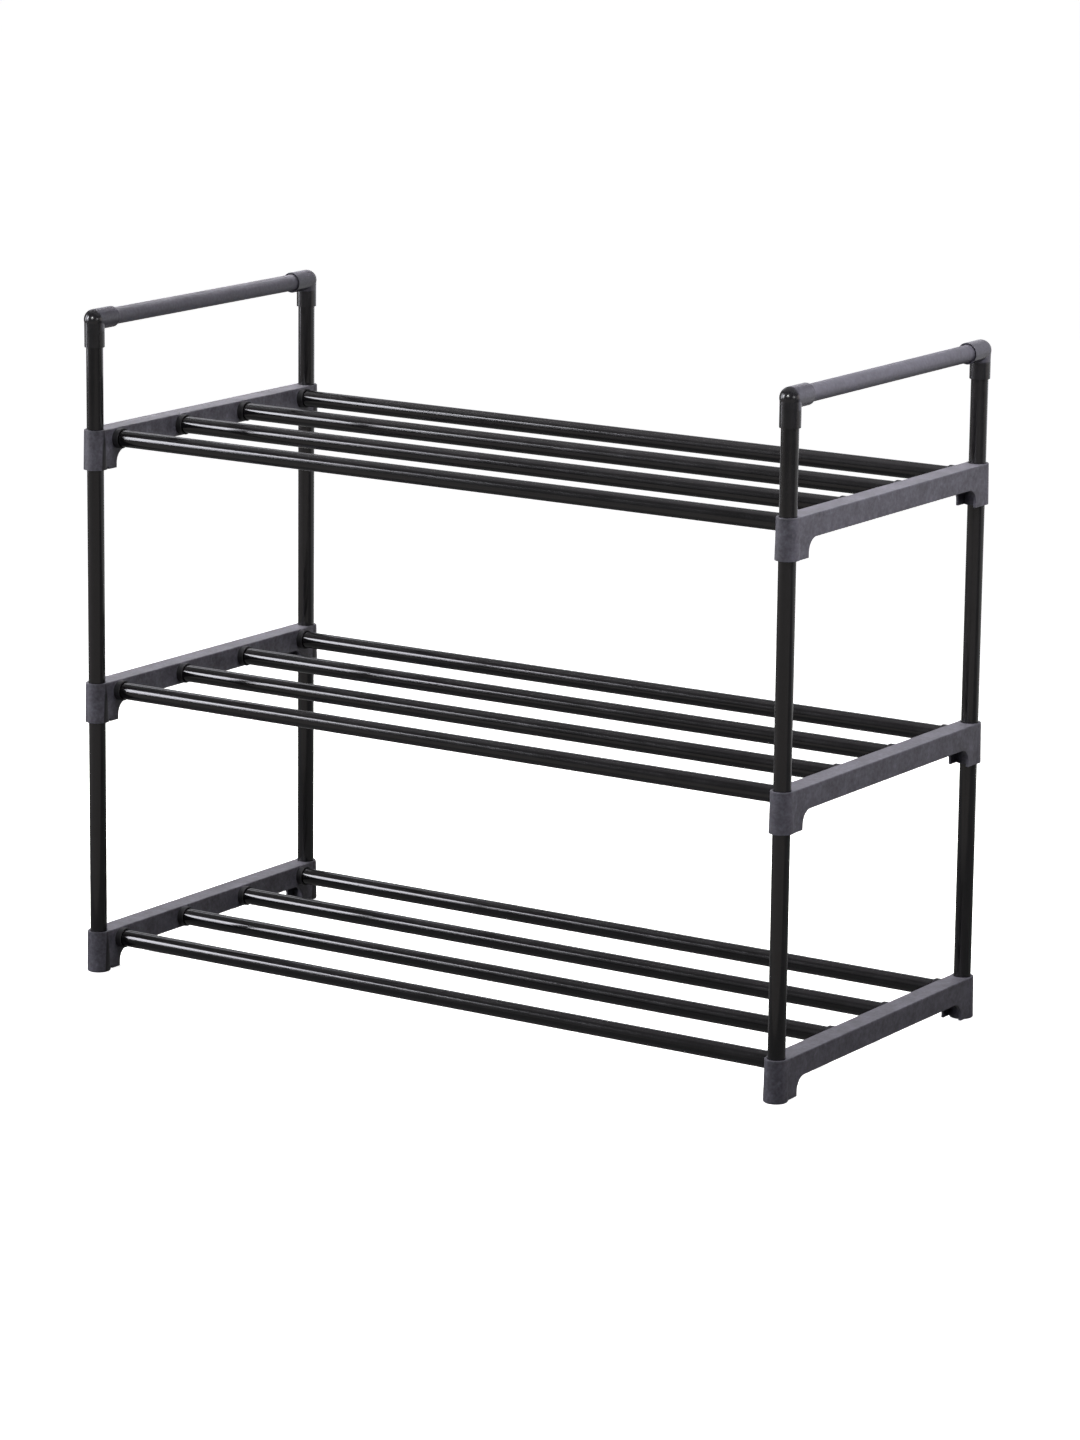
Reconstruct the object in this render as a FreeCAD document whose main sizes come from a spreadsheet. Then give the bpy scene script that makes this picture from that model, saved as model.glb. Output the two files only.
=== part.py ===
# Three-tier shoe rack that pushes together: steel tubes held by moulded plastic side brackets and elbows.
# Millimetres. X runs left to right, Y front to back, Z up; the origin is on the floor under the middle.
import FreeCAD, Part

import math
import os
import re

import Sketcher
from FreeCAD import Placement, Rotation, Vector

# Driving dimensions: name, value and meaning. Lengths in millimetres, angles in degrees.
DIMENSIONS = (
    ("post_span_x", 597.0, "between post axes, left to right"),
    ("post_span_y", 268.0, "between post axes, front to back"),
    ("tier_pitch", 192.0, "between the tops of neighbouring side brackets"),
    ("tube_radius", 6.35, "outside of every steel tube"),
    ("tube_wall", 0.7, "steel tube wall"),
    ("fit_gap", 0.05, "radial gap between a tube and its socket"),
    ("end_gap", 0.5, "between a tube's end and the bottom of its socket"),
    ("tube_inset", 17.0, "first shelf tube behind the front post axis"),
    ("tube_drop", 8.0, "shelf tube axis below the bracket's top face"),
    ("beam_width", 16.5, "side bracket, across"),
    ("beam_height", 16.5, "side bracket, between its gussets"),
    ("skin", 2.0, "moulded wall of a side bracket"),
    ("sleeve_radius", 8.4, "post sleeve at its top"),
    ("sleeve_height", 30.0, "post sleeve"),
    ("sleeve_draft", 0.95, "moulding draft of the post sleeve"),
    ("post_socket", 14.0, "how deep a post goes into a sleeve"),
    ("gusset_reach", 15.5, "gusset, from the post axis to its lower tip"),
    ("sole", 1.5, "foot below the gussets of the bottom bracket"),
    ("arch_radius", 10.0, "hollow corner between gusset and beam"),
    ("notch_width", 6.0, "slot in the inner gusset wall, measured from the post axis"),
    ("notch_height", 2.0, "slot in the inner gusset wall"),
    ("boss_radius", 7.5, "moulded boss round each shelf tube socket"),
    ("collar_proud", 5.0, "boss past the inner face of the bracket"),
    ("rib", 1.6, "cross rib under the bracket"),
    ("rib_height", 13.0, "cross rib under the bracket"),
    ("rib_pitch", 26.0, "between neighbouring cross ribs"),
    ("edge_round", 0.8, "rounding of the bracket's long top edges"),
    ("sleeve_round", 0.5, "rounding of the post sleeve's top rim"),
    ("arch_round", 0.5, "rounding of the bracket's lower edges between the gussets"),
    ("collar_round", 0.35, "rounding of the collar round each shelf tube"),
    ("sole_round", 1.2, "rounding of the foot's lower rim"),
    ("lead_in", 0.6, "chamfer at the mouth of a socket"),
    ("rail_height", 82.0, "handle rail axis above the top bracket"),
    ("elbow_radius", 7.9, "elbow, round the rail and at its corner"),
    ("elbow_leg_radius", 7.6, "elbow, round the upright"),
    ("elbow_reach", 20.5, "elbow mouth in front of the upright's axis"),
    ("elbow_drop", 20.5, "elbow, rail axis to its lower mouth"),
    ("elbow_round", 0.3, "rounding of the elbow's mouths"),
    ("rail_lead_in", 1.0, "chamfer at the elbow's mouth for the rail"),
    ("rail_stop", 2.0, "rail end short of the upright's axis"),
    ("upright_stop", 8.4, "upright end below the rail axis"),
)
SHELF_TUBES = 4
CLOSE = 0.01
TIERS = ("bottom", "middle", "top")
SIDES = (("left", -1), ("right", 1))
DEPTHS = (("front", -1), ("rear", 1))

UP = Vector(0, 0, 1)
CIRCLE_CENTRE = 3
TURN_ABOUT_Z = Rotation(UP, 180)
NO_TURN = Rotation()
ALONG_X = Rotation(Vector(0, 1, 0), 90)
ALONG_Y = Rotation(Vector(1, 0, 0), -90)

doc = FreeCAD.newDocument("shoe_rack")
dims = doc.addObject("Spreadsheet::Sheet", "dims")


def fill_sheet():
    """Write the driving dimensions, one to a row, each with its alias."""
    for row, (alias, size, meaning) in enumerate(DIMENSIONS, 1):
        dims.set(f"A{row}", alias)
        dims.set(f"B{row}", str(size))
        dims.setAlias(f"B{row}", alias)
        dims.set(f"C{row}", meaning)
    doc.recompute()


def number(expression):
    """The value of an expression written in names of the sheet."""
    return float(dims.evalExpression(expression))


def bind(thing, prop, expression):
    """Drive a property from the sheet."""
    aliases = {alias for alias, _, _ in DIMENSIONS}
    words = re.sub(r"[a-z_]+", lambda word: f"dims.{word[0]}" if word[0] in aliases else word[0], expression)
    thing.setExpression(prop, words)


# Sketches ---------------------------------------------------------------------------------------


def new_sketch(body, name, plane, offset="0"):
    """Sketch on one of the body's own origin planes, moved along the plane's normal."""
    sketch = body.newObject("Sketcher::SketchObject", name)
    support = next(feature for feature in body.Origin.OriginFeatures if feature.Role == plane)
    sketch.AttachmentSupport = [(support, "")]
    sketch.MapMode = "FlatFace"
    bind(sketch, "AttachmentOffset.Base.z", offset)
    return sketch


def constrain(sketch, kind, place, expression):
    """Add a dimension to a sketch and drive it from the sheet; place is geometry and perhaps a point."""
    index = sketch.addConstraint(Sketcher.Constraint(kind, *place, number(expression)))
    name = "_".join([kind.lower(), *map(str, place)])
    sketch.renameConstraint(index, name)
    bind(sketch, f"Constraints.{name}", expression)


def constrain_point(sketch, geometry, point, x, y):
    """Fix a sketch point at two expressions."""
    constrain(sketch, "DistanceX", (geometry, point), x)
    constrain(sketch, "DistanceY", (geometry, point), y)


def add_circle(sketch, x, y, radius):
    """Circle whose centre and radius are expressions."""
    circle = Part.Circle(Vector(number(x), number(y), 0), UP, number(radius))
    geometry = sketch.addGeometry(circle, False)
    constrain_point(sketch, geometry, CIRCLE_CENTRE, x, y)
    constrain(sketch, "Radius", (geometry,), radius)


def bent_edge(start, end, radius):
    """Arc between two corners of an anticlockwise loop, hollow when the radius is negative.

    Returns the arc and which of its own ends, 1 or 2, lies at the start and at the end corner.
    """
    chord = end - start
    rise = math.sqrt(radius**2 - (chord.Length / 2) ** 2)
    leftward = Vector(-chord.y, chord.x, 0).normalize()
    centre = (start + end) / 2 + leftward * math.copysign(rise, radius)
    ends = (start, end) if radius > 0 else (end, start)
    angles = [math.atan2(corner.y - centre.y, corner.x - centre.x) for corner in ends]
    arc = Part.ArcOfCircle(Part.Circle(centre, UP, abs(radius)), *angles)
    return arc, (1, 2) if radius > 0 else (2, 1)


def add_loop(sketch, corners):
    """Closed outline through corners given anticlockwise as (x, y) or (x, y, radius), all expressions.

    A radius bends the edge that leaves the corner: outward, or inward when it starts with a minus.
    """
    points = [Vector(number(corner[0]), number(corner[1]), 0) for corner in corners]
    edges = []
    for index, corner in enumerate(corners):
        start, end = points[index], points[(index + 1) % len(points)]
        if len(corner) == 2:
            edges.append((sketch.addGeometry(Part.LineSegment(start, end), False), (1, 2)))
            continue
        arc, ends = bent_edge(start, end, number(corner[2]))
        geometry = sketch.addGeometry(arc, False)
        edges.append((geometry, ends))
        constrain(sketch, "Radius", (geometry,), corner[2].lstrip("-"))
    for index, (geometry, ends) in enumerate(edges):
        following, following_ends = edges[(index + 1) % len(edges)]
        joined = (geometry, ends[1], following, following_ends[0])
        sketch.addConstraint(Sketcher.Constraint("Coincident", *joined))
        constrain_point(sketch, geometry, ends[0], corners[index][0], corners[index][1])


def add_rectangle(sketch, left, bottom, right, top):
    """Rectangle whose four sides are expressions."""
    add_loop(sketch, [(left, bottom), (right, bottom), (right, top), (left, top)])


# Features ---------------------------------------------------------------------------------------


def new_body(label):
    """One sub-part."""
    body = doc.addObject("PartDesign::Body", label)
    body.Label = label
    return body


def pad(body, sketch, length, side="One side", backwards=False, draft=None):
    """Extrude a sketch into the body."""
    feature = body.newObject("PartDesign::Pad", f"{sketch.Name}_pad")
    feature.Profile = sketch
    feature.SideType = side
    feature.Reversed = backwards
    bind(feature, "Length", length)
    if draft:
        bind(feature, "TaperAngle", draft)
    doc.recompute()
    return feature


def pocket(body, sketch, depth, backwards=False):
    """Cut a sketch out of the body, and make sure that it removes something."""
    before = body.Shape.Volume
    feature = body.newObject("PartDesign::Pocket", f"{sketch.Name}_pocket")
    feature.Profile = sketch
    feature.Reversed = backwards
    bind(feature, "Length", depth)
    doc.recompute()
    if not body.Shape.Volume < before:
        raise RuntimeError(f"{feature.Name} cuts nothing")
    return feature


def dress(body, kind, name, size, keep):
    """Fillet or chamfer the edges of the body's last feature that keep() accepts."""
    base = body.Tip
    edges = [f"Edge{index}" for index, edge in enumerate(base.Shape.Edges, 1) if keep(edge)]
    feature = body.newObject(f"PartDesign::{kind}", name)
    feature.Base = (base, edges)
    bind(feature, "Radius" if kind == "Fillet" else "Size", size)
    doc.recompute()


def place(body, x, y, z, turn=NO_TURN):
    """Stand a sub-part at three expressions."""
    body.Placement = Placement(Vector(), turn)
    bind(body, "Placement.Base.x", x)
    bind(body, "Placement.Base.y", y)
    bind(body, "Placement.Base.z", z)


def near(value, expression):
    """True where a length equals an expression."""
    return abs(value - number(expression)) < CLOSE


def is_circle(edge, radius):
    """True for a round edge of one radius."""
    return not edge.Degenerated and isinstance(edge.Curve, Part.Circle) and near(edge.Curve.Radius, radius)


def is_rim(edge, radius, level):
    """True for a round edge of one radius at one height."""
    return is_circle(edge, radius) and near(edge.Curve.Center.z, level)


# Side bracket -----------------------------------------------------------------------------------
# Its own frame has the top face at Z = 0, the middle of the beam at Y = 0 and the shelf side at +X.

POST_Y = "post_span_y / 2"
FOOT_HEIGHT = "sleeve_height + sole"
INNER_FACE = "beam_width / 2"
INNER_WALL = "beam_width / 2 - skin"
BORE = "tube_radius + fit_gap"
TUBE_PITCH = f"(post_span_y - 2 * tube_inset) / {SHELF_TUBES - 1}"


def tube_row(index):
    """Y of a shelf tube, the first at the front."""
    return f"-({POST_Y}) + tube_inset + {index} * {TUBE_PITCH}"


def bracket_walls(body):
    """Beam with a gusset at each end, as wide as the bracket."""
    sketch = new_sketch(body, "side", "YZ_Plane")
    base = "-sleeve_height"
    tip = f"{POST_Y} - gusset_reach"
    spring = f"{POST_Y} - gusset_reach - arch_radius"
    shoulder = "-beam_height - arch_radius"
    add_loop(
        sketch,
        [
            (f"-({POST_Y})", base),
            (f"-({tip})", base),
            (f"-({tip})", shoulder, "-arch_radius"),
            (f"-({spring})", "-beam_height"),
            (spring, "-beam_height", "-arch_radius"),
            (tip, shoulder),
            (tip, base),
            (POST_Y, base),
            (POST_Y, "0"),
            (f"-({POST_Y})", "0"),
        ],
    )
    pad(body, sketch, "beam_width", side="Symmetric")


def bracket_channel(body):
    """Hollow underside: shallow to the posts for the gussets, deep between the end tubes."""
    hollows = (
        ("gusset_hollow", POST_Y, "tube_drop + boss_radius"),
        ("beam_hollow", tube_row(SHELF_TUBES - 1), "skin"),
    )
    for name, end, roof in hollows:
        sketch = new_sketch(body, name, "XY_Plane", f"-({roof})")
        add_rectangle(sketch, f"-({INNER_WALL})", f"-({end})", INNER_WALL, end)
        pocket(body, sketch, "sleeve_height")


def bracket_notches(body):
    """Slot that parts the inner gusset wall from the sleeve."""
    sketch = new_sketch(body, "notch", "YZ_Plane", INNER_FACE)
    floor, roof = "-sleeve_height", "-sleeve_height + notch_height"
    inner = f"{POST_Y} - notch_width"
    add_rectangle(sketch, inner, floor, POST_Y, roof)
    add_rectangle(sketch, f"-({POST_Y})", floor, f"-({inner})", roof)
    pocket(body, sketch, "skin")


def bracket_sleeves(body, height):
    """Drafted round sleeve on each post axis."""
    sketch = new_sketch(body, "sleeve", "XY_Plane")
    for end in (f"-({POST_Y})", POST_Y):
        add_circle(sketch, "0", end, "sleeve_radius")
    pad(body, sketch, height, backwards=True, draft="sleeve_draft")


def bracket_bosses(body):
    """Socket bosses across the channel, standing a little proud of the inner face, and cross ribs."""
    sketch = new_sketch(body, "boss", "YZ_Plane", f"-({INNER_WALL})")
    for index in range(SHELF_TUBES):
        add_circle(sketch, tube_row(index), "-tube_drop", "boss_radius")
    pad(body, sketch, "beam_width - skin + collar_proud")

    sketch = new_sketch(body, "cross_rib", "XY_Plane", "-skin / 2")
    first = f"{tube_row(0)} + rib_pitch"
    add_rectangle(sketch, f"-({INNER_WALL})", f"{first} - rib / 2", INNER_WALL, f"{first} + rib / 2")
    rib = pad(body, sketch, "rib_height", backwards=True)
    pattern = body.newObject("PartDesign::LinearPattern", "cross_ribs")
    pattern.Originals = [rib]
    pattern.Direction = (sketch, ["V_Axis"])
    pattern.Mode = "Spacing"
    pattern.Occurrences = round(number("(post_span_y - 2 * tube_inset) / rib_pitch")) - 1
    bind(pattern, "Offset", "rib_pitch")
    body.Tip = pattern
    doc.recompute()


def bracket_sockets(body, is_foot):
    """Blind bores for the shelf tubes and the posts."""
    sketch = new_sketch(body, "tube_socket", "YZ_Plane", f"{INNER_FACE} + collar_proud")
    for index in range(SHELF_TUBES):
        add_circle(sketch, tube_row(index), "-tube_drop", BORE)
    pocket(body, sketch, "beam_width - skin + collar_proud")

    mouths = [("upper_socket", "0", False)]
    if not is_foot:
        mouths.append(("lower_socket", "-sleeve_height", True))
    for name, level, upwards in mouths:
        sketch = new_sketch(body, name, "XY_Plane", level)
        for end in (f"-({POST_Y})", POST_Y):
            add_circle(sketch, "0", end, BORE)
        pocket(body, sketch, "post_socket", backwards=upwards)


def bracket_edges(body, is_foot):
    """Round the edges that a hand or a shoe meets, and open the mouths of the sockets."""

    def on_side_face(edge):
        return near(abs(edge.BoundBox.XMin), INNER_FACE) and near(abs(edge.BoundBox.XMax), INNER_FACE)

    def top_edge(edge):
        return on_side_face(edge) and near(edge.BoundBox.ZMin, "0")

    def sleeve_rim(edge):
        return is_rim(edge, "sleeve_radius", "0")

    def arch_edge(edge):
        reach = max(abs(edge.BoundBox.YMin), abs(edge.BoundBox.YMax))
        between_tips = reach < number(f"{POST_Y} - gusset_reach") + CLOSE
        return on_side_face(edge) and between_tips and edge.BoundBox.ZMax < number("-beam_height") + CLOSE

    def post_mouth(edge):
        return is_rim(edge, BORE, "0") or is_rim(edge, BORE, "-sleeve_height")

    def tube_mouth(edge):
        return is_circle(edge, BORE) and near(edge.BoundBox.XMin, f"{INNER_FACE} + collar_proud")

    def collar_rim(edge):
        return is_circle(edge, "boss_radius") and near(edge.BoundBox.XMin, f"{INNER_FACE} + collar_proud")

    dress(body, "Fillet", "top_edges", "edge_round", top_edge)
    dress(body, "Fillet", "sleeve_rims", "sleeve_round", sleeve_rim)
    dress(body, "Fillet", "arch_edges", "arch_round", arch_edge)
    dress(body, "Fillet", "collar_rims", "collar_round", collar_rim)
    dress(body, "Chamfer", "mouths", "lead_in", lambda edge: post_mouth(edge) or tube_mouth(edge))
    if is_foot:
        rim = f"sleeve_radius + ({FOOT_HEIGHT}) * tan(sleeve_draft)"
        dress(body, "Fillet", "sole_rim", "sole_round", lambda edge: is_rim(edge, rim, f"-({FOOT_HEIGHT})"))


def side_bracket(label, is_foot):
    """Moulded bracket that ties a front and a rear post and takes one end of the shelf tubes."""
    body = new_body(label)
    bracket_walls(body)
    bracket_channel(body)
    bracket_notches(body)
    bracket_sleeves(body, FOOT_HEIGHT if is_foot else "sleeve_height")
    bracket_bosses(body)
    bracket_sockets(body, is_foot)
    bracket_edges(body, is_foot)
    return body


# Elbow ------------------------------------------------------------------------------------------
# Its own frame has the rail axis along Y and the upright's axis along Z, crossing at the origin.


def elbow(label):
    """Moulded corner with a ball-ended arm for the rail and a leg for the upright."""
    body = new_body(label)
    sketch = new_sketch(body, "arm", "YZ_Plane")
    add_loop(
        sketch,
        [
            ("-elbow_radius", "0"),
            ("elbow_reach", "0"),
            ("elbow_reach", "elbow_radius"),
            ("0", "elbow_radius", "elbow_radius"),
        ],
    )
    arm = body.newObject("PartDesign::Revolution", "arm_revolution")
    arm.Profile = sketch
    arm.ReferenceAxis = (sketch, ["H_Axis"])
    arm.Angle = 360

    sketch = new_sketch(body, "leg", "XY_Plane")
    add_circle(sketch, "0", "0", "elbow_leg_radius")
    pad(body, sketch, "elbow_drop", backwards=True)

    sketch = new_sketch(body, "upright_socket", "XY_Plane", "-elbow_drop")
    add_circle(sketch, "0", "0", BORE)
    pocket(body, sketch, "elbow_drop - upright_stop + end_gap", backwards=True)

    sketch = new_sketch(body, "rail_socket", "XZ_Plane", "-elbow_reach")
    add_circle(sketch, "0", "0", BORE)
    pocket(body, sketch, "elbow_reach - rail_stop + end_gap", backwards=True)

    def at_leg(edge, radius):
        return is_rim(edge, radius, "-elbow_drop")

    def at_arm(edge, radius):
        return is_circle(edge, radius) and near(edge.Curve.Center.y, "elbow_reach")

    def outer_rim(edge):
        return at_leg(edge, "elbow_leg_radius") or at_arm(edge, "elbow_radius")

    dress(body, "Fillet", "mouth_rims", "elbow_round", outer_rim)
    dress(body, "Chamfer", "upright_mouth", "lead_in", lambda edge: at_leg(edge, BORE))
    dress(body, "Chamfer", "rail_mouth", "rail_lead_in", lambda edge: at_arm(edge, BORE))
    return body


# Tubes ------------------------------------------------------------------------------------------


def tube(label, length):
    """Steel tube standing on its own origin."""
    body = new_body(label)
    sketch = new_sketch(body, "section", "XY_Plane")
    add_circle(sketch, "0", "0", "tube_radius")
    add_circle(sketch, "0", "0", "tube_radius - tube_wall")
    pad(body, sketch, length)
    return body


# The rack ---------------------------------------------------------------------------------------


def tier_top(tier):
    """Height of a tier's bracket tops above the floor."""
    return f"{FOOT_HEIGHT} + {tier} * tier_pitch"


def add_brackets():
    """Six side brackets; the right-hand ones are the left-hand ones turned round."""
    for tier, tier_name in enumerate(TIERS):
        for side, sign in SIDES:
            body = side_bracket(f"bracket_{tier_name}_{side}", is_foot=tier == 0)
            turn = TURN_ABOUT_Z if sign > 0 else NO_TURN
            place(body, f"{sign} * post_span_x / 2", "0", tier_top(tier), turn)


def add_shelf_tubes():
    """Four tubes to a tier, from socket to socket."""
    inside = "post_span_x / 2 + beam_width / 2 - skin - end_gap"
    for tier, tier_name in enumerate(TIERS):
        for index in range(SHELF_TUBES):
            body = tube(f"shelf_tube_{tier_name}_{index + 1}", f"2 * ({inside})")
            place(body, f"-({inside})", tube_row(index), f"{tier_top(tier)} - tube_drop", ALONG_X)


def add_posts():
    """Posts between the tiers, and the uprights of the handles."""
    stop = "post_socket - end_gap"
    gaps = (
        ("post_lower", 0, f"tier_pitch - sleeve_height + 2 * ({stop})"),
        ("post_upper", 1, f"tier_pitch - sleeve_height + 2 * ({stop})"),
        ("handle_upright", 2, f"rail_height - upright_stop + {stop}"),
    )
    for kind, tier, length in gaps:
        for side, x_sign in SIDES:
            for depth, y_sign in DEPTHS:
                body = tube(f"{kind}_{depth}_{side}", length)
                x, y = f"{x_sign} * post_span_x / 2", f"{y_sign} * {POST_Y}"
                place(body, x, y, f"{tier_top(tier)} - ({stop})")


def add_handles():
    """An elbow on each upright and a rail between the two of each side."""
    axis_height = f"{tier_top(2)} + rail_height"
    for side, x_sign in SIDES:
        x = f"{x_sign} * post_span_x / 2"
        for depth, y_sign in DEPTHS:
            turn = TURN_ABOUT_Z if y_sign > 0 else NO_TURN
            place(elbow(f"elbow_{depth}_{side}"), x, f"{y_sign} * {POST_Y}", axis_height, turn)
        rail = tube(f"handle_rail_{side}", f"2 * ({POST_Y} - rail_stop)")
        place(rail, x, f"-({POST_Y} - rail_stop)", axis_height, ALONG_Y)


def check_and_export():
    """Refuse a failed feature or a bad solid, then write one file to a sub-part."""
    doc.recompute()
    for thing in doc.Objects:
        if {"Invalid", "Error"} & set(thing.State):
            raise RuntimeError(f"{thing.Label} failed: {thing.State}")
    bodies = [thing for thing in doc.Objects if thing.isDerivedFrom("PartDesign::Body")]
    for body in bodies:
        if body.Shape.isNull() or not body.Shape.isValid() or len(body.Shape.Solids) != 1:
            raise RuntimeError(f"{body.Label} is not one sound solid")
    os.makedirs("parts", exist_ok=True)
    for body in bodies:
        body.Shape.exportStep(f"parts/{body.Label}.step")
        print(f"{body.Label}: {body.Shape.Volume / 1000:.2f} cm3")


fill_sheet()
add_brackets()
add_shelf_tubes()
add_posts()
add_handles()
check_and_export()
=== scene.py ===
"""Finish, stage and camera of a push-fit shoe rack, laid out as a Blender add-on.

Metres. X runs left to right along the shelf tubes, Y front to back, Z up, with the floor at zero.
"""
import math

import bpy
from bpy.props import FloatProperty, FloatVectorProperty, PointerProperty
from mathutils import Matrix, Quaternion, Vector


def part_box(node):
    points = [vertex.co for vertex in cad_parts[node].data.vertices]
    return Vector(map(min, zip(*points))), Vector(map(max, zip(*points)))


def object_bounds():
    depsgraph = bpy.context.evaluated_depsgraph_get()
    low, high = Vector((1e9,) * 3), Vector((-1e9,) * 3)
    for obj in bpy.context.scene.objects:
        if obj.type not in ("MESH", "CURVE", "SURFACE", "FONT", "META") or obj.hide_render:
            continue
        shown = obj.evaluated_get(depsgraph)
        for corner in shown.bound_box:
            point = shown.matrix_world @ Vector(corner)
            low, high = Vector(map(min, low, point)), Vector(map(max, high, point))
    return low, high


bl_info = {
    "name": "Push-fit Shoe Rack",
    "version": (1, 0, 0),
    "blender": (4, 5, 0),
    "location": "3D View > Sidebar > Shoe Rack",
    "description": "Finishes the tubes and mouldings of a shoe rack and lights it in a pale studio",
    "category": "Object",
}

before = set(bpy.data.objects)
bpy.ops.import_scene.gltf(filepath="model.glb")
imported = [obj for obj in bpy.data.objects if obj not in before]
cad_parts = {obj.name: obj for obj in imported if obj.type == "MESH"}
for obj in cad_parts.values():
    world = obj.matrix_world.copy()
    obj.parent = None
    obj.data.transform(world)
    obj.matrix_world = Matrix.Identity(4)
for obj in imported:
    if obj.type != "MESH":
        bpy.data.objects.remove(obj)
RACK_LOW, RACK_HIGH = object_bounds()
RACK_MIDDLE = (RACK_LOW + RACK_HIGH) / 2

# Lengths on the mouldings, in metres.
COLLAR_PROUD = 0.005  # how far a collar stands out from the inner face of its bracket
PAINTED_COLLAR_SHADE_EDGE = 0.0003  # width over which the painted shade on a collar sets in
PAINTED_ARM_LIGHT_EDGE = 0.001  # to either side of the level where the painted light on an arm sets in above the leg
PAINTED_ARM_LIGHT_CAP_EDGE = 0.003  # width over which the painted light on an arm ends at the cap

# Noise runs from 0 to 1 about its mean.
NOISE_MEAN = 0.5
RUBBED = (0.55, 0.75)  # where a rub mark starts, and where it is full
HAZED = (0.35, 0.75)  # where the haze of handling starts, and where it is full

# How many of the smaller marks lie across one cloud.
MOULDED_FLECKS = 6
MOULDED_RUBS = 2
COAT_FLECKS = 8

# How much the roughness of the plastic changes with its clouds and its flecks.
CLOUD_ROUGHNESS = 0.15
FLECK_ROUGHNESS = 0.1


# Shader expressions -----------------------------------------------------------------------------


class Varying:
    """One output of a shader node; arithmetic on it adds Math nodes."""

    def __init__(self, shader, socket):
        self.shader = shader
        self.socket = socket

    def math(self, operation, first, second):
        """Math node of one operation."""
        inputs = {0: first, 1: second}
        return self.shader.node("ShaderNodeMath", {"operation": operation}, inputs)

    def __add__(self, other):
        return self.math("ADD", self, other)

    def __radd__(self, other):
        return self.math("ADD", other, self)

    def __sub__(self, other):
        return self.math("SUBTRACT", self, other)

    def __rsub__(self, other):
        return self.math("SUBTRACT", other, self)

    def __mul__(self, other):
        return self.math("MULTIPLY", self, other)

    def __rmul__(self, other):
        return self.math("MULTIPLY", other, self)

    def __abs__(self):
        return self.shader.node("ShaderNodeMath", {"operation": "ABSOLUTE"}, {0: self})

    def above(self, low, high):
        """0 up to low, 1 from high on, and a smooth rise between."""
        settings = {"interpolation_type": "SMOOTHSTEP"}
        inputs = {"Value": self, "From Min": low, "From Max": high}
        return self.shader.node("ShaderNodeMapRange", settings, inputs)


class Shader:
    """A procedural material built up node by node."""

    def __init__(self, name):
        self.material = bpy.data.materials.new(name)
        self.material.use_nodes = True
        self.tree = self.material.node_tree
        self.tree.nodes.clear()
        self.place = self.node("ShaderNodeTexCoord", output="Object")

    def node(self, kind, settings=None, inputs=None, output=0):
        """Add a node, make its settings, feed its sockets and give one of its outputs."""
        made = self.tree.nodes.new(kind)
        for name, setting in (settings or {}).items():
            setattr(made, name, setting)
        for name, feed in (inputs or {}).items():
            if isinstance(feed, Varying):
                self.tree.links.new(feed.socket, made.inputs[name])
            else:
                made.inputs[name].default_value = feed
        return Varying(self, made.outputs[output])

    def along(self, axis):
        """Place along one axis of the rack, in metres."""
        return self.node("ShaderNodeSeparateXYZ", {}, {"Vector": self.place}, output=axis)

    def noise(self, grain, detail=2.0, roughness=0.5):
        """Noise whose blotches are about one grain across, in metres."""
        inputs = {
            "Vector": self.place,
            "Scale": 1 / grain,
            "Detail": detail,
            "Roughness": roughness,
        }
        return self.node("ShaderNodeTexNoise", {"noise_dimensions": "3D"}, inputs)

    def scaled(self, colour, tone):
        """A colour made brighter or darker from place to place."""
        inputs = {"Vector": colour, "Scale": tone}
        return self.node("ShaderNodeVectorMath", {"operation": "SCALE"}, inputs)

    def bump(self, height, depth):
        """Surface relief of one depth in metres."""
        inputs = {"Height": height, "Distance": depth, "Strength": 1.0}
        return self.node("ShaderNodeBump", {}, inputs, output="Normal")

    def surface(self, inputs):
        """Finish the material with a Principled shader."""
        shaded = self.node("ShaderNodeBsdfPrincipled", {}, inputs)
        drawn = self.tree.nodes.new("ShaderNodeOutputMaterial")
        self.tree.links.new(shaded.socket, drawn.inputs["Surface"])
        return self.material


# Finishes ---------------------------------------------------------------------------------------


def collar_painted_shade(shader, finish):
    """Painted shade: the collars round the shelf tubes darkened as if in the shadow of their
    sockets.
    """
    face = COLLAR_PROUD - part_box("bracket_top_left")[1][0]
    beyond = abs(shader.along("X")).above(face - PAINTED_COLLAR_SHADE_EDGE, face)
    # Painted shade: near the collars the colour drops to finish.collar of the bracket's.
    return finish.collar + (1 - finish.collar) * beyond


def arm_painted_light(shader, finish):
    """Painted light: elbow arms made paler than the legs and the caps at the corners, standing in
    for the bright backdrop their gloss reflects.
    """
    low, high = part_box("elbow_front_left")
    radius = (high[0] - low[0]) / 2
    underside = high[2] - 2 * radius
    upright = -low[1] - radius
    over = shader.along("Z").above(underside - PAINTED_ARM_LIGHT_EDGE, underside + PAINTED_ARM_LIGHT_EDGE)
    inward = 1 - abs(shader.along("Y")).above(upright, upright + PAINTED_ARM_LIGHT_CAP_EDGE)
    # Painted light: the colour is raised by finish.arm over the arm, short of the cap.
    return 1 + (finish.arm - 1) * over * inward


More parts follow.
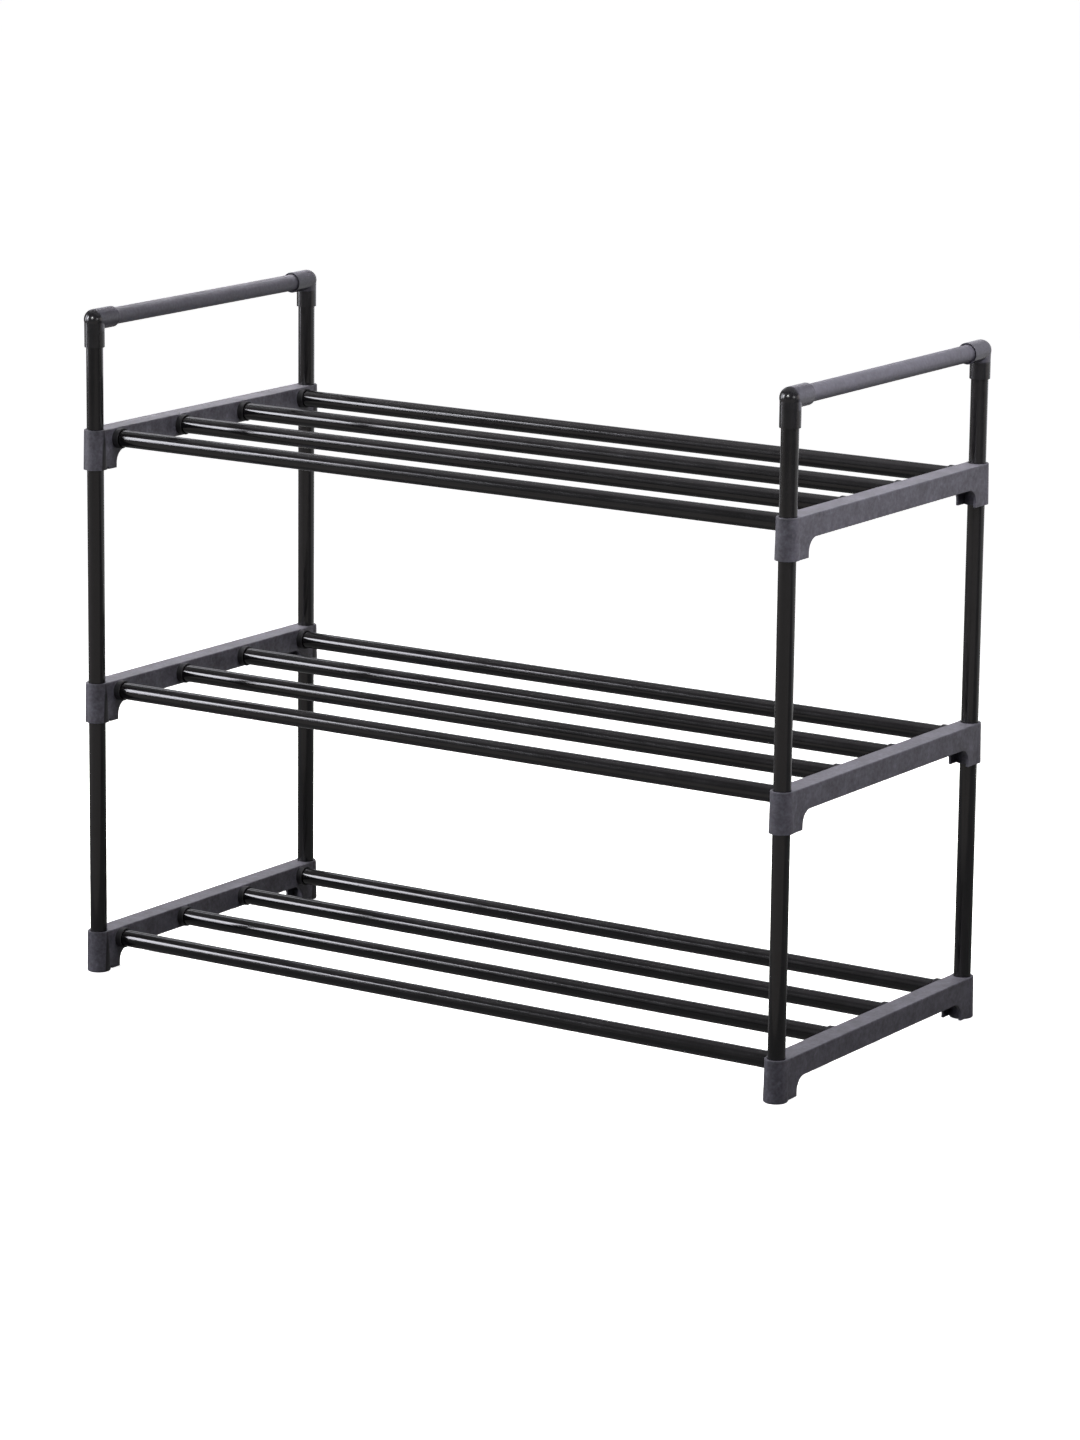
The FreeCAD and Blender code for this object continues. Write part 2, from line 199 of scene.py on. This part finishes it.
def moulded_plastic(name, finish, shade):
    """Moulded plastic: spark-eroded grain, clouds, flecks and pale rub marks, with the colour
    scaled by the painted light and shade that the last argument gives.
    """
    shader = Shader(name)
    grain = shader.noise(finish.grain, detail=1.0)
    cloud = shader.noise(finish.cloud, detail=3.0)
    fleck = shader.noise(finish.cloud / MOULDED_FLECKS, detail=2.0)
    rubbing = shader.noise(finish.cloud / MOULDED_RUBS, detail=5.0, roughness=0.75)
    rubbed = rubbing.above(*RUBBED)
    cloud_swing = cloud - NOISE_MEAN
    fleck_swing = fleck - NOISE_MEAN
    tone = 1 + finish.mottle * cloud_swing + finish.mottle * fleck_swing + finish.wear * rubbed
    roughness = finish.roughness + CLOUD_ROUGHNESS * cloud_swing + FLECK_ROUGHNESS * fleck_swing
    return shader.surface(
        {
            # Painted light and shade: the colour is scaled by the mask that the last argument
            # gives.
            "Base Color": shader.scaled(finish.colour, tone * shade(shader, finish)),
            "Roughness": roughness,
            "Specular IOR Level": finish.sheen,
            "Normal": shader.bump(grain, finish.relief),
        }
    )


def coated_steel(name, finish):
    """Coated steel: a smooth skin with orange peel and the haze of handling."""
    shader = Shader(name)
    peel = shader.noise(finish.grain, detail=1.0)
    haze = shader.noise(finish.cloud, detail=3.0)
    fleck = shader.noise(finish.cloud / COAT_FLECKS, detail=2.0)
    tone = 1 + finish.mottle * (haze - NOISE_MEAN) + finish.mottle * (fleck - NOISE_MEAN)
    return shader.surface(
        {
            "Base Color": shader.scaled(finish.colour, tone),
            "Roughness": finish.roughness + finish.wear * (haze.above(*HAZED) - NOISE_MEAN),
            "Specular IOR Level": finish.sheen,
            "Normal": shader.bump(peel, finish.relief),
        }
    )


def give_finish(nodes, material):
    """Put one material on CAD nodes."""
    if not nodes:
        raise RuntimeError(f"no node takes {material.name}")
    for node in nodes:
        for slot in node.material_slots:
            slot.material = material


def nodes_named(start):
    """CAD nodes whose name begins with a word."""
    return [node for name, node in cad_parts.items() if name.startswith(start)]


# Settings ---------------------------------------------------------------------------------------


def colour_property(default):
    """A colour that the user can change."""
    return FloatVectorProperty(
        name="Colour",
        description="Mean colour of the surface",
        subtype="COLOR",
        min=0,
        max=1,
        default=default,
    )


def share_property(name, description, default):
    """A number from 0 to 1."""
    return FloatProperty(
        name=name, description=description, subtype="FACTOR", min=0, max=1, default=default
    )


def length_property(name, description, default):
    """A length in metres."""
    return FloatProperty(
        name=name, description=description, unit="LENGTH", precision=6, default=default
    )


def angle_property(name, description, degrees):
    """An angle, given in degrees."""
    return FloatProperty(
        name=name, description=description, subtype="ANGLE", default=math.radians(degrees)
    )


class BracketFinish(bpy.types.PropertyGroup):
    """Finish of the side brackets."""

    colour: colour_property((0.104, 0.1, 0.121))
    roughness: share_property("Roughness", "Mean roughness", 0.5)
    sheen: share_property("Sheen", "Strength of the plain reflection", 0.4)
    mottle: FloatProperty(
        name="Mottle", description="Strength of the clouds and flecks", min=0, default=1.2
    )
    wear: share_property("Wear", "Strength of the pale rub marks", 0.42)
    grain: length_property("Grain", "Width of one grain of the moulded texture", 0.0006)
    relief: length_property("Relief", "Depth of the moulded texture", 0.00004)
    cloud: length_property("Cloud", "Width of the clouds in the plastic", 0.014)
    # Painted shade: how bright the collars are painted beside the bracket.
    collar: share_property("Collar", "Brightness of the collars beside that of the bracket", 0.12)


class ElbowFinish(bpy.types.PropertyGroup):
    """Finish of the elbows."""

    colour: colour_property((0.0087, 0.0083, 0.0104))
    roughness: share_property("Roughness", "Mean roughness", 0.22)
    sheen: share_property("Sheen", "Strength of the plain reflection", 0.6)
    mottle: share_property("Mottle", "Strength of the clouds and flecks", 0.6)
    wear: share_property("Wear", "Strength of the pale rub marks", 0.3)
    grain: length_property("Grain", "Width of one grain of the moulded texture", 0.0006)
    relief: length_property("Relief", "Depth of the moulded texture", 0.000008)
    cloud: length_property("Cloud", "Width of the clouds in the plastic", 0.009)
    # Painted light: how many times paler the arms are painted than the legs.
    arm: FloatProperty(
        name="Arm", description="How many times paler the arm is than the leg", min=1, default=8.0
    )


class TubeFinish(bpy.types.PropertyGroup):
    """Finish of the shelf tubes and posts."""

    colour: colour_property((0.0105, 0.0098, 0.0108))
    roughness: share_property("Roughness", "Mean roughness", 0.14)
    sheen: share_property("Sheen", "Strength of the plain reflection", 0.5)
    mottle: share_property("Mottle", "Strength of the clouds and flecks", 0.8)
    wear: share_property("Haze", "How much handling changes the roughness", 0.04)
    grain: length_property("Peel", "Width of one dimple of the orange peel", 0.004)
    relief: length_property("Relief", "Depth of the orange peel", 0.0000006)
    cloud: length_property("Cloud", "Width of the handling haze", 0.03)


class RailFinish(bpy.types.PropertyGroup):
    """Finish of the handle rails."""

    colour: colour_property((0.1035, 0.1, 0.122))
    roughness: share_property("Roughness", "Mean roughness", 0.5)
    sheen: share_property("Sheen", "Strength of the plain reflection", 0.5)
    mottle: share_property("Mottle", "Strength of the clouds and flecks", 0.7)
    wear: share_property("Haze", "How much handling changes the roughness", 0.12)
    grain: length_property("Peel", "Width of one dimple of the powder coat", 0.0009)
    relief: length_property("Relief", "Depth of the powder coat's texture", 0.00003)
    cloud: length_property("Cloud", "Width of the handling haze", 0.02)


class StudioSettings(bpy.types.PropertyGroup):
    """Camera and light of the studio."""

    azimuth: angle_property("Azimuth", "Camera to the right of straight ahead", 33.117)
    elevation: angle_property("Elevation", "Camera above the horizon", 12.634)
    roll: angle_property("Roll", "Camera's own tilt", 0.657)
    distance: length_property("Distance", "Camera to the aim", 3.937)
    lens: FloatProperty(name="Lens", description="Focal length", unit="CAMERA", default=133.06)
    aim: FloatVectorProperty(
        name="Aim",
        description="Point in the middle of the view",
        subtype="TRANSLATION",
        unit="LENGTH",
        default=(0.0112, -0.0004, 0.2111),
    )


# Operators --------------------------------------------------------------------------------------


class RACK_OT_side_brackets(bpy.types.Operator):
    """Give the six side brackets their moulded finish, with painted shade on the collars"""

    bl_idname = "rack.side_brackets"
    bl_label = "Side Brackets"

    def execute(self, context):
        finish = context.scene.bracket_finish
        plastic = moulded_plastic("bracket_plastic_painted_shade", finish, collar_painted_shade)
        give_finish(nodes_named("bracket"), plastic)
        return {"FINISHED"}


class RACK_OT_elbows(bpy.types.Operator):
    """Give the four elbows their moulded finish, with painted light on the arms"""

    bl_idname = "rack.elbows"
    bl_label = "Elbows"

    def execute(self, context):
        plastic = moulded_plastic("elbow_plastic_painted_light", context.scene.elbow_finish, arm_painted_light)
        give_finish(nodes_named("elbow"), plastic)
        return {"FINISHED"}


class RACK_OT_tubes(bpy.types.Operator):
    """Give the shelf tubes, posts and uprights their black coat"""

    bl_idname = "rack.tubes"
    bl_label = "Shelf Tubes and Posts"

    def execute(self, context):
        tubes = nodes_named("shelf_tube") + nodes_named("post") + nodes_named("handle_upright")
        coat = coated_steel("black_coat", context.scene.tube_finish)
        give_finish(tubes, coat)
        return {"FINISHED"}


class RACK_OT_handle_rails(bpy.types.Operator):
    """Give the two handle rails their matte coat"""

    bl_idname = "rack.handle_rails"
    bl_label = "Handle Rails"

    def execute(self, context):
        coat = coated_steel("rail_coat", context.scene.rail_finish)
        give_finish(nodes_named("handle_rail"), coat)
        return {"FINISHED"}


# Studio -----------------------------------------------------------------------------------------


# Colours of the lamps and cards.
WHITE = (1.0, 1.0, 1.0)
COOL = (0.93, 0.93, 1.0)
BLUE = (0.86, 0.87, 1.0)
WARM = (1.0, 0.91, 0.85)
SOFT = (1.0, 0.99, 0.95)

# Place, size, aim, glow and colour of each lamp. Lamps light the rack and don't show in its gloss.
LAMPS = {
    "lamp_left": ((-1.8, -1.6, 0.5), (1.2, 1.2), RACK_MIDDLE, 5.9, COOL),
    "lamp_front": ((0.5, -3.0, 0.5), (3.0, 1.2), RACK_MIDDLE, 0.8, BLUE),
    "lamp_over_left": ((-0.55, 0.2, 1.05), (0.5, 0.5), RACK_MIDDLE, 21.0, SOFT),
    "lamp_over_middle": ((0.06, 0.0, 0.72), (0.2, 0.3), (0.3, 0.0, 0.35), 5.0, SOFT),
    "lamp_over_right": ((0.5, 0.0, 0.85), (0.3, 0.4), (0.35, 0.0, 0.2), 4.4, SOFT),
    "lamp_right": ((0.8, -0.15, 0.9), (0.4, 0.6), (0.3, 0.0, 0.25), 5.7, COOL),
}

# The same for the cards, which show in the gloss and light nothing.
CARDS = {
    "card_streak": ((-2.4, -2.38, 1.28), (0.82, 1.55), RACK_MIDDLE, 17.0, COOL),
    "card_upper_streak": ((-1.62, 0.9, 1.65), (0.8, 0.25), RACK_MIDDLE, 3.0, COOL),
    "card_top": ((0.0, 0.1, 1.6), (2.4, 1.2), RACK_MIDDLE, 0.33, COOL),
    "card_front_high": ((0.4, -3.4, 2.0), (0.8, 0.6), RACK_MIDDLE, 40.0, WHITE),
    "card_front_right": ((3.3, -1.55, 1.3), (0.7, 0.7), RACK_MIDDLE, 10.0, WHITE),
    "card_right": ((3.5, 1.5, 0.9), (2.4, 1.8), RACK_MIDDLE, 1.2, WARM),
    "card_left": ((-3.2, -1.2, 0.95), (0.9, 2.0), RACK_MIDDLE, 7.0, COOL),
    "card_backdrop": ((-0.3, 3.2, 1.1), (7.5, 2.4), (-0.3, 0.0, 1.1), 0.66, COOL),
    "card_floor_behind": ((0.3, 2.0, 0.004), (5.0, 2.6), (0.3, 2.0, 1.0), 0.45, WHITE),
    "card_floor_before": ((0.0, -1.4, 0.004), (5.0, 2.2), (0.0, -1.4, 1.0), 0.25, WARM),
}

# Reach from the middle and height of each ring of the sweep.
SWEEP_RINGS = ((2.0, 0.0), (9.0, 0.0), (11.0, 0.5), (12.5, 2.0), (13.0, 4.0), (13.0, 9.0))
SWEEP_STEPS = 64
SWEEP_COLOUR = (0.89, 0.89, 0.89)
SWEEP_CLOUD = 0.4
SWEEP_MOTTLE = 0.02
SURROUND_GLOW = 0.2


def softbox(name, place, size, aim, glow, colour, lights):
    """Soft rectangular lamp that either lights the rack or shows in its gloss."""
    width, height = size
    lamp = bpy.data.lights.new(name, "AREA")
    lamp.shape = "RECTANGLE"
    lamp.size, lamp.size_y = width, height
    lamp.energy = math.pi * width * height * glow
    lamp.color = colour
    body = bpy.data.objects.new(name, lamp)
    body.location = place
    body.rotation_mode = "QUATERNION"
    body.rotation_quaternion = (Vector(aim) - Vector(place)).to_track_quat("-Z", "Y")
    body.visible_diffuse = lights
    body.visible_glossy = not lights
    body.visible_camera = False
    bpy.context.scene.collection.objects.link(body)


def studio_sweep():
    """Pale floor that turns up into a wall all round, far from the rack."""
    points = [Vector((0, 0, 0))]
    faces = []
    for ring, (reach, height) in enumerate(SWEEP_RINGS):
        first = len(points)
        for step in range(SWEEP_STEPS):
            angle = math.tau * step / SWEEP_STEPS
            points.append(Vector((reach * math.cos(angle), reach * math.sin(angle), height)))
            here, after = first + step, first + (step + 1) % SWEEP_STEPS
            if ring == 0:
                faces.append((0, here, after))
            else:
                faces.append((here - SWEEP_STEPS, here, after, after - SWEEP_STEPS))
    mesh = bpy.data.meshes.new("sweep")
    mesh.from_pydata(points, [], faces)
    sweep = bpy.data.objects.new("sweep", mesh)
    bpy.context.scene.collection.objects.link(sweep)
    shader = Shader("pale_sweep")
    cloud = shader.noise(SWEEP_CLOUD, detail=2.0)
    tone = 1 + SWEEP_MOTTLE * (cloud - NOISE_MEAN)
    mesh.materials.append(
        shader.surface(
            {
                "Base Color": shader.scaled(SWEEP_COLOUR, tone),
                "Roughness": 0.9,
                "Specular IOR Level": 0.1,
                "Emission Color": (1.0, 1.0, 1.0, 1.0),
                "Emission Strength": 1.0,
            }
        )
    )
    sweep.visible_glossy = False
    sweep.visible_diffuse = False
    sweep.visible_shadow = False


def studio_world():
    """Dim even surroundings for the gloss."""
    world = bpy.data.worlds.new("studio")
    world.use_nodes = True
    background = world.node_tree.nodes["Background"]
    background.inputs["Color"].default_value = (1.0, 1.0, 1.0, 1.0)
    background.inputs["Strength"].default_value = SURROUND_GLOW
    bpy.context.scene.world = world
    world.cycles_visibility.diffuse = False


def studio_camera(settings):
    """Camera at its distance and angles from the aim."""
    camera = bpy.data.cameras.new("camera")
    camera.lens = settings.lens
    body = bpy.data.objects.new("camera", camera)
    level = math.cos(settings.elevation)
    sideways = math.sin(settings.azimuth) * level
    frontward = -math.cos(settings.azimuth) * level
    back = Vector((sideways, frontward, math.sin(settings.elevation)))
    body.location = Vector(settings.aim) + back * settings.distance
    body.rotation_mode = "QUATERNION"
    tilt = Quaternion((0, 0, 1), settings.roll)
    body.rotation_quaternion = (-back).to_track_quat("-Z", "Y") @ tilt
    bpy.context.scene.collection.objects.link(body)
    bpy.context.scene.camera = body


class RACK_OT_studio(bpy.types.Operator):
    """Build the floor, the lamps and the camera"""

    bl_idname = "rack.studio"
    bl_label = "Studio"

    def execute(self, context):
        context.scene.view_settings.view_transform = "Standard"
        studio_sweep()
        studio_world()
        for lights, boxes in ((True, LAMPS), (False, CARDS)):
            for name, box in boxes.items():
                softbox(name, *box, lights)
        studio_camera(context.scene.studio_settings)
        return {"FINISHED"}


class RACK_PT_panel(bpy.types.Panel):
    """Pieces of the rack"""

    bl_idname = "RACK_PT_panel"
    bl_label = "Shoe Rack"
    bl_space_type = "VIEW_3D"
    bl_region_type = "UI"
    bl_category = "Shoe Rack"

    def draw(self, context):
        for operator in OPERATORS:
            self.layout.operator(operator.bl_idname)


OPERATORS = (
    RACK_OT_side_brackets,
    RACK_OT_elbows,
    RACK_OT_tubes,
    RACK_OT_handle_rails,
    RACK_OT_studio,
)
SETTINGS = {
    "bracket_finish": BracketFinish,
    "elbow_finish": ElbowFinish,
    "tube_finish": TubeFinish,
    "rail_finish": RailFinish,
    "studio_settings": StudioSettings,
}
CLASSES = (*SETTINGS.values(), *OPERATORS, RACK_PT_panel)


def register():
    """Add the classes and hang the settings on the scene."""
    for added in CLASSES:
        bpy.utils.register_class(added)
    for name, group in SETTINGS.items():
        setattr(bpy.types.Scene, name, PointerProperty(type=group))


def unregister():
    """Take the settings and the classes away again."""
    for name in SETTINGS:
        delattr(bpy.types.Scene, name)
    for added in reversed(CLASSES):
        bpy.utils.unregister_class(added)


def main():
    """Finish every piece and build the studio."""
    register()
    bpy.ops.rack.side_brackets()
    bpy.ops.rack.elbows()
    bpy.ops.rack.tubes()
    bpy.ops.rack.handle_rails()
    bpy.ops.rack.studio()


if __name__ == "__main__":
    main()
